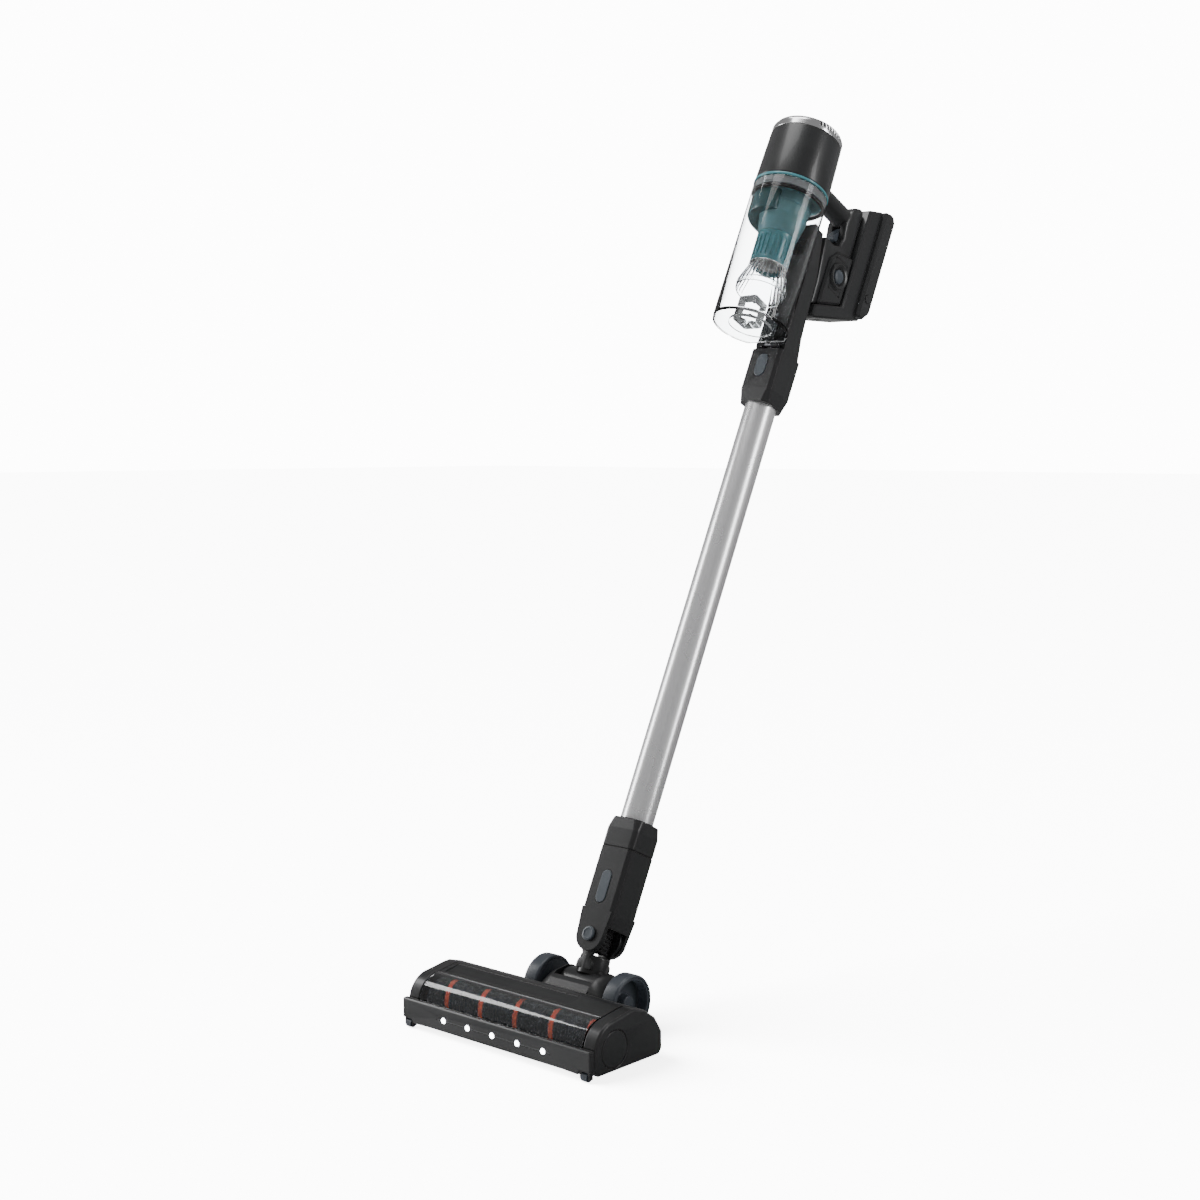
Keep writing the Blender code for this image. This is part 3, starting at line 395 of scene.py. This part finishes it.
def window():
    # an arc of wall about the roller, carried straight across the head
    angle = np.radians(np.linspace(176.0, 91.0, 44))
    outer, inner = headLook["windowRadius"], headLook["windowRadius"] - headLook["windowWall"]
    y = np.concatenate((outer * np.cos(angle), inner * np.cos(angle[::-1])))
    z = np.concatenate((outer * np.sin(angle), inner * np.sin(angle[::-1])))
    x = np.linspace(-headLook["windowEdge"], headLook["windowEdge"], 12)[:, None]
    return surface("window_pane", onHead(x, rollerAt[0] + y[None], rollerAt[1] + z[None]), capped=True)


settle(window(), "roller_window")
brushLook = {"pitch": 46.3, "front": 19.9, "width": 5.6, "radius": 21.6, "half": 103.2, "pile": 0.35}


def brush():
    # A cylinder whose radius is roughened for the pile; one helix of it is red and stands a little prouder.
    x = np.linspace(-brushLook["half"], brushLook["half"], 300)[:, None]
    angle = np.linspace(0.0, math.tau, 140, endpoint=False)[None, :]
    turns = (x - brushLook["front"]) / brushLook["pitch"] + angle / math.tau
    offset = np.abs(turns - np.round(turns)) * brushLook["pitch"]
    stripe = np.clip((0.5 * brushLook["width"] - offset) / 0.7 + 0.5, 0.0, 1.0)
    rough = np.random.default_rng(7).normal(0.0, brushLook["pile"], stripe.shape)
    radius = np.minimum(brushLook["radius"] + rough + 0.35 * stripe, 22.3)
    y = rollerAt[0] - radius * np.cos(angle)
    z = rollerAt[1] + radius * np.sin(angle)
    piece = surface("pile_roller", onHead(x, y, z), capped=True)
    piece.data.attributes.new("stripe", "FLOAT", "POINT").data.foreach_set("value", stripe.ravel())
    return piece


settle(brush(), "roller_brush")
for number in range(-2, 3):
    lens = lathe(f"lamp_lens_{number + 3}", [(0, -7.0, 0), (2.6, -6.6, 0.8), (2.9, -5.2, 0), (0, -5.2, 0)],
                 aboutDepth(number * headLook["lampSpacing"], 17.7, head=True), 32)
    extra(lens, "floor_head", "lamp", "lampBright")

wheelLook = {"y": 128.0, "radius": 29.0, "inner": 44.2, "outer": 61.0}


def wheel(side, label):
    inner, outer, radius = wheelLook["inner"], wheelLook["outer"], wheelLook["radius"]
    tyre = [(25.9, inner, 0.3), (radius, inner, 2.2), (radius, outer, 2.2), (25.9, outer, 0.8)]
    hub = [(0, 36.4, 0), (3, 36.4, 0.3), (3, inner, 0.2), (25.6, inner, 0.8), (25.6, outer - 0.8, 0.5),
           (23.6, outer - 0.8, 0.6), (23.0, inner + 4, 1.5), (9, inner + 3, 1.2), (7.5, outer - 5, 1.2),
           (0, outer - 5, 0)]
    place = aboutAcross(wheelLook["y"], wheelLook["radius"])
    tyre = [(r, side * x, f) for r, x, f in tyre]
    hub = [(r, side * x, f) for r, x, f in hub]
    settle(lathe(f"wheel_tyre_{label}", tyre, place, 112), f"tyre_{label}")
    settle(lathe(f"wheel_hub_{label}", hub, place, 96), f"wheel_{label}", "tyre")


wheel(-1, "left")
wheel(1, "right")
yokeLook = {"y": 129.0, "z": 34.0, "radius": 18.4, "inner": 25.6, "outer": 43.5, "drop": 15.0}


def yoke():
    # Two rounded arms whose tops fall away towards the wheels, and the bridge between them.
    turn = np.radians(np.linspace(100.0, -60.0, 26))
    roundY = yokeLook["y"] + yokeLook["radius"] * np.cos(turn)
    roundZ = yokeLook["z"] + yokeLook["radius"] * np.sin(turn)
    y = np.concatenate(([97.4, 97.4, 103.0, 112.0], roundY, [112.0]))
    z = np.concatenate(([8.0, 36.0, 44.5, 50.5], roundZ, [9.0]))
    span = yokeLook["outer"] - yokeLook["inner"]
    grids = []
    for side in (-1, 1):
        t = np.linspace(0.0, 1.0, 18)[:, None]
        x = side * (yokeLook["inner"] + span * t)
        edge = 2.2 * (1.0 - np.sqrt(np.clip(1.0 - np.clip((t - 0.88) / 0.12, 0, 1) ** 2, 0, 1)))
        fall = (yokeLook["drop"] * t ** 1.6 + edge) * np.clip((z - 20.0) / 30.0, 0.0, 1.0)[None]
        grids.append(onHead(x, y[None] - 0.5 * edge, z[None] - fall))
    lip = rounded([(97.4, 8, 0.5), (97.4, 38, 0.5), (104, 45.6, 3), (110.4, 48.6, 1.2), (110.4, 10, 1)])
    x = np.linspace(-yokeLook["inner"] - 0.3, yokeLook["inner"] + 0.3, 12)[:, None]
    grids.append(onHead(x, lip[None, :, 0], lip[None, :, 1]))
    return merged("wheel_bridge", [surface(f"bridge_{n}", g, capped=True) for n, g in enumerate(grids)])


settle(yoke(), "rear_yoke")
print("floor head dressed")


hoseLook = {"low": 34.2, "high": 83.8, "folds": 12, "radius": 9.4, "depth": 1.1}


def hose():
    # The radius rises and falls once for each fold along the hose.
    along = np.linspace(hoseLook["low"], hoseLook["high"], hoseLook["folds"] * 14)[:, None]
    phase = (along - hoseLook["low"]) / (hoseLook["high"] - hoseLook["low"]) * hoseLook["folds"] * math.tau
    angle = np.linspace(0.0, math.tau, 72, endpoint=False)[None, :]
    outer = hoseLook["radius"] - hoseLook["depth"] * np.cos(phase)
    wall = np.full_like(along, 7.4)
    radius = np.concatenate((outer, wall[::-1]))
    along = np.concatenate((along, along[::-1]))
    wound = onWand(radius * np.sin(angle), radius * np.cos(angle), along)
    piece = surface("corrugated_hose", wound, loop=True)
    piece.data.materials.append(looks["black"])
    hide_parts("swivel_hose")
    tuple(onWand(0, 0, 38.0))
    tuple(onWand(0, 0, 66.0))
    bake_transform(piece)


hose()
for side, label in ((-1, "front"), (1, "rear")):
    pin = [(0, 11.4, 0), (5.5, 11.4, 0.3), (5.5, 20.8, 0.2), (7.4, 20.8, 0.4), (7.4, 23.1, 0.9),
           (5.2, 23.5, 0.4), (4.8, 22.9, 0.3), (0, 22.9, 0)]
    settle(lathe(f"pivot_cap_{label}", [(r, side * y, f) for r, y, f in pin], aboutDepth(0, 50.0), 64),
           f"swivel_pin_{label}")
neckLook = {"column": 15.4, "bore": 11.2, "cheek": 15.2, "thick": (11.3, 15.3), "barrel": 17.0}


def neck():
    # A barrel between the bridge's arms, a hollow column on it, and two tongues that hold the swivel pins.
    girth = neckLook["barrel"]
    barrel = lathe("barrel", [(0, -34.2, 0), (6, -34.2, 0.6), (6, -25, 0.3), (girth, -25, 1.6),
                              (girth, 25, 1.6), (6, 25, 0.3), (6, 34.2, 0.6), (0, 34.2, 0)],
                   aboutSide(0.0, 0.0), 96)
    bore, width = neckLook["bore"], neckLook["column"]
    column = lathe("column", [(bore, 12.0, 0.3), (width, 12.0, 0.3), (width, 31.5, 2.0), (bore, 31.5, 0.5)],
                   aboutWand(0.0), 96)
    turn = np.radians(np.linspace(-20.0, 200.0, 40))
    top = np.stack((neckLook["cheek"] * np.cos(turn), 50.0 + neckLook["cheek"] * np.sin(turn)), axis=1)
    root = rounded([(-10.2, 27.0, 6), (-10.0, 16.0, 1), (10.0, 16.0, 1), (10.2, 27.0, 6)])
    tongue = np.concatenate((top, root))
    near, far = neckLook["thick"]
    front = slab("front", tongue, -far, -near, 0.7, deep)
    back = slab("back", tongue, near, far, 0.7, deep)
    shield = rounded([(13, 5, 1), (20.5, 11, 3), (20.5, 25, 4), (13, 30, 2)])
    guard = slab("guard", shield, -6.0, 6.0, 1.0, wide)
    return merged("neck_shell", [barrel, column, front, back, guard])


settle(neck(), "neck_duct")
tube = [(16.2, 158.1, 0.2), (17.4, 158.1, 0.3), (17.4, 663.9, 0.3), (16.2, 663.9, 0.2)]
settle(lathe("wand_tube", tube, aboutWand(0.0), 128), "tube")
print("wand dressed")


cupLook = {"low": 717.4, "high": 880.0, "radius": 41.9, "wall": 1.9}


def cup():
    # a plain tube whose ends are rounded over
    low, high, radius = cupLook["low"], cupLook["high"], cupLook["radius"]
    inner = radius - cupLook["wall"]
    wall = [(inner, low, 0.6), (radius, low, 0.8), (radius, high, 0.5), (inner, high, 0.3)]
    return lathe("cup_wall", wall, aboutWand(cupY), 128)


hornLook = {"from": -170.0, "to": 20.0, "low": 836.0, "high": 868.5, "inner": 26.0, "reach": 38.6}


def horn():
    # A crescent beside the drum: its reach grows and dies away along the arc, and its floor slopes.
    t = np.linspace(0.0, 1.0, 64)[:, None]
    angle = np.radians(hornLook["from"] + (hornLook["to"] - hornLook["from"]) * t)
    start = hornLook["inner"] + 0.6
    reach = start + (hornLook["reach"] - start) * np.sin(math.pi * t) ** 0.55
    floor = hornLook["low"] + 9.0 * t
    section = rounded([(0, 0, 0.06), (1, 0, 0.1), (1, 1, 0.1), (0, 1, 0.06)])
    radius = hornLook["inner"] + (reach - hornLook["inner"]) * section[None, :, 0]
    along = floor + (hornLook["high"] - floor) * section[None, :, 1]
    return surface("inlet_horn", aboutWand(cupY)(radius, along, angle), capped=True)


def slotted(radius, along, angle):
    # deep upright slots between solid bars, all round
    bar = np.cos(24 * angle)
    inside = np.clip((along - 793.0) / 1.5, 0, 1) * np.clip((819.5 - along) / 1.5, 0, 1)
    return radius - 1.2 * np.clip(-4.0 * bar, 0.0, 1.0) * inside * (radius > 20.5)


def ribbed(radius, along, angle):
    # shallow waves round the flare, fading out at both ends
    inside = np.clip((786.0 - along) / 3.0, 0, 1) * np.clip((along - 760.0) / 3.0, 0, 1)
    return radius + 0.5 * np.cos(30 * angle) * inside


settle(cup(), "dust_cup")
drum = [(24.6, 875, 0.4), (24.6, 846, 2), (19.8, 824, 0.2), (21.6, 824, 0.3), (26.3, 845, 6),
        (26.3, 858, 0.2), (27.2, 858.6, 0.3), (27.2, 861.4, 0.3), (26.3, 862, 0.2), (26.3, 870.6, 0.6),
        (36.8, 871, 0.4), (36.8, 875, 0.4)]
settle(lathe("cyclone_drum", drum, aboutWand(cupY), 128), "cyclone_body")
extra(horn(), "dust_bin", "teal", "tealDeep")
seal = [(37.2, 866.6, 0.3), (39.5, 866.6, 0.4), (39.5, 870.2, 0.4), (37.2, 870.2, 0.3)]
settle(lathe("seal_ring", seal, aboutWand(cupY), 128), "cup_seal")
rim = [(37.4, 871.0, 0.3), (39.7, 871.0, 0.4), (39.7, 879.6, 0.5), (37.4, 879.6, 0.3)]
extra(lathe("clear_rim", rim, aboutWand(cupY), 128), "dust_bin", "clear", "rim")
tab = slab("rim_tab", box((-4.5, -97.6), (4.5, -94.2), 0.8), 873.0, 878.6, 0.6, upright)
extra(tab, "dust_bin", "clear", "rim")
tower = slab("latch_tower", box((-5.6, -31.0), (5.6, -18.6), 1.6), 721.0, 757.0, 1.2, upright)
extra(tower, "dust_bin", "charcoal", "smoke")
pocket = slab("guide_pocket", box((-15.0, -72.0), (9.0, -47.0), 2.6), 721.4, 748.0, 1.6, upright)
extra(pocket, "dust_bin", "clear")
grille = [(19.6, 789, 0.3), (21.4, 789, 0.4), (21.4, 823.7, 0.4), (19.6, 823.7, 0.3)]
settle(lathe("cyclone_slots", grille, aboutWand(cupY), 288, slotted, 0.8), "cyclone_grille")
skirt = [(19.6, 788.7, 0.2), (21.4, 788.7, 0.4), (22, 782, 3), (28.5, 764, 1.5), (28.5, 758, 0.4),
         (27, 758, 0.4), (27, 763.6, 1.2), (20.4, 781.8, 2)]
settle(lathe("cyclone_flare", skirt, aboutWand(cupY), 240, ribbed, 1.5), "cyclone_skirt")
housing = [(30, 883.6, 0), (41.8, 883.6, 1.0), (41.3, 902, 60), (40.2, 945, 0.8), (38, 945, 0.3),
           (39.4, 886, 0.4), (30, 886, 0)]
settle(lathe("motor_shell", housing, aboutWand(cupY), 128), "motor_housing")
tealRing = [(36.5, 880.4, 0.2), (42.4, 880.4, 0.9), (42.4, 883.2, 0.9), (36.5, 883.2, 0.2)]
settle(lathe("cup_ring", tealRing, aboutWand(cupY), 128), "teal_ring")
capLook = {"rim": 40.0, "base": 945.3, "vents": 9, "spacing": 6.5, "first": 56.0}


def vented(radius, along, angle):
    # narrow radial slots pressed into the rim on both sides, away from the front
    turn = np.degrees(np.abs((angle + math.pi) % math.tau - math.pi))
    place = (turn - capLook["first"]) / capLook["spacing"]
    near = np.abs(place - np.round(place)) * capLook["spacing"]
    wanted = (place > -0.4) & (place < capLook["vents"] - 0.6)
    high = np.clip((along - 949.5) / 0.8, 0, 1) * np.clip((956.9 - along) / 0.8, 0, 1)
    return radius - 2.4 * np.clip((2.1 - near) / 0.6, 0, 1) * wanted * high * (radius > 33.0)


dome = [(capLook["rim"], capLook["base"], 0.4), (capLook["rim"], 952, 3), (37.2, 956.6, 4), (30, 959.6, 8),
        (15, 961.2, 20), (0, 961.8, 0), (0, 959, 0), (15, 958.6, 0), (28, 957.0, 3), (35, 953.6, 2),
        (37.4, 950.5, 1), (37.4, capLook["base"], 0.3)]
lining = [(36.0, 948.6, 0), (39.2, 948.6, 0.3), (39.2, 951.6, 3), (36.6, 955.8, 3), (32.6, 957.6, 2),
          (32.4, 956.8, 0), (35.4, 954.6, 2), (36.9, 951.0, 1)]
extra(lathe("vent_lining", lining, aboutWand(cupY), 128), "exhaust", "black")
settle(lathe("vent_cap", dome, aboutWand(cupY), 720, vented, 0.7), "exhaust_cap")
bezel = [(8.9, 15.4, 0.2), (15.4, 15.4, 0.4), (15.6, 19.6, 0.8), (14.2, 21.8, 1.0), (11.0, 20.4, 1.4),
         (9.3, 18.0, 0.8)]
# The plate is a box with rounded corners outside, and a round hole for the key inside.
turn = np.linspace(0.0, math.tau, 96, endpoint=False)
reach = ((np.abs(np.cos(turn)) / 11.6) ** 12 + (np.abs(np.sin(turn)) / 19.6) ** 12) ** (-1 / 12)
plateSize = np.stack((reach, reach, np.full(96, 8.7), np.full(96, 8.7)))
plateX = np.array((11.0, 17.9, 17.9, 11.0))[:, None]
keyY, keyZ = 42.0, 832.0
plate = onWand(plateX, keyY + plateSize * np.cos(turn), keyZ + plateSize * np.sin(turn))
plate = surface("plate", plate, loop=True)
ring = lathe("ring", bezel, aboutSide(keyY, keyZ), 96)
settle(merged("mode_bezel", [plate, ring]), "bezel")
button = [(0, 14.6, 0), (8.0, 14.6, 0.4), (8.0, 20.2, 1.2), (4.0, 21.2, 6), (0, 21.4, 0)]
settle(lathe("mode_key", button, aboutSide(keyY, keyZ), 72), "mode_button")
print("cup and housing dressed")


stageLook = {
    "floor": 30.0, "camera": (1.1903, -1.5047, 0.5786), "tilt": 85.01, "turn": 41.64, "lens": 54.39,
    "shadowLight": 32.0, "aim": (0.0, 0.0, 0.4), "worldDim": 0.26, "worldBright": 13.0, "floorGlow": 5.0,
    "floorPaint": 0.88,
}


def stage():
    half = stageLook["floor"]
    mesh = bpy.data.meshes.new("floor")
    corners = [(-half, -half, 0), (half, -half, 0), (half, half, 0), (-half, half, 0)]
    mesh.from_pydata(corners, [], [(0, 1, 2, 3)])
    floor = placed("floor", mesh)
    floor.location.z = -0.0005
    mesh.materials.append(finish("paleFloor", (0.88, 0.88, 0.88), (0.9, 0.9, 0.9), 0.8, 300, 0.02))
    # A broad lamp that lights the floor alone gives the soft shadow to the right and behind.
    only = bpy.data.collections.new("floorOnly")
    only.objects.link(floor)
    light = bpy.data.lights.new("floorLight", "SUN")
    light.energy = stageLook["shadowLight"]
    light.angle = math.radians(50.0)
    lamp = placed("floorLight", light)
    lamp.rotation_euler = Vector((0.75, 0.45, -0.8)).to_track_quat("-Z", "Y").to_euler()
    lamp.light_linking.receiver_collection = only


def softbox(name, place, size, power):
    light = bpy.data.lights.new(name, "AREA")
    light.shape = "RECTANGLE"
    light.size, light.size_y = size
    light.energy = power
    lamp = placed(name, light)
    lamp.location = place
    way = Vector(stageLook["aim"]) - lamp.location
    lamp.rotation_euler = way.to_track_quat("-Z", "Y").to_euler()


def camera():
    data = bpy.data.cameras.new("camera")
    data.lens = stageLook["lens"]
    data.sensor_width = 36.0
    eye = placed("camera", data)
    eye.location = stageLook["camera"]
    eye.rotation_euler = (math.radians(stageLook["tilt"]), 0.0, math.radians(stageLook["turn"]))
    bpy.context.scene.camera = eye


stage()
camera()
softbox("keyLeft", (-2.0, -1.0, 1.0), (0.55, 2.2), 32)
softbox("fillRight", (1.9, 0.6, 1.0), (0.35, 1.8), 17)
softbox("overhead", (-0.3, -0.1, 2.4), (1.5, 1.0), 24)


def brightBeyond(tree, shaderInput, dim, bright):
    # seen directly or through clear plastic it is bright; as light on the object it is dim
    path = node(tree, "ShaderNodeLightPath", (-700, 300))
    bounces = node(tree, "ShaderNodeMath", (-600, 300), operation="ADD")
    seen = node(tree, "ShaderNodeMath", (-450, 300), operation="LESS_THAN")
    seen.inputs[1].default_value = 0.5
    amount = node(tree, "ShaderNodeMath", (-300, 300), operation="MULTIPLY_ADD")
    amount.inputs[1].default_value = bright - dim
    amount.inputs[2].default_value = dim
    tree.links.new(path.outputs["Diffuse Depth"], bounces.inputs[0])
    tree.links.new(path.outputs["Glossy Depth"], bounces.inputs[1])
    tree.links.new(bounces.outputs[0], seen.inputs[0])
    tree.links.new(seen.outputs[0], amount.inputs[0])
    tree.links.new(amount.outputs[0], shaderInput)


world = bpy.data.worlds.new("studio")
world.use_nodes = True
sky = world.node_tree.nodes["Background"]
sky.inputs["Color"].default_value = (1.0, 1.0, 1.0, 1.0)
brightBeyond(world.node_tree, sky.inputs["Strength"], stageLook["worldDim"], stageLook["worldBright"])
bpy.context.scene.world = world
floorTree = bpy.data.objects["floor"].data.materials[0].node_tree
floorShader = floorTree.nodes["Principled BSDF"]
floorShader.inputs["Emission Color"].default_value = (1.0, 1.0, 1.0, 1.0)
brightBeyond(floorTree, floorShader.inputs["Emission Strength"], 0.0, stageLook["floorGlow"])
# The floor's own colour is black to every ray that sees it after a bounce.
paint = node(floorTree, "ShaderNodeCombineColor", (-200, 100))
shade = node(floorTree, "ShaderNodeMath", (-400, 100), operation="MULTIPLY")
shade.inputs[1].default_value = stageLook["floorPaint"] / stageLook["floorGlow"]
floorTree.links.new(floorShader.inputs["Emission Strength"].links[0].from_socket, shade.inputs[0])
for channel in range(3):
    floorTree.links.new(shade.outputs[0], paint.inputs[channel])
floorTree.links.new(paint.outputs[0], floorShader.inputs["Base Color"])
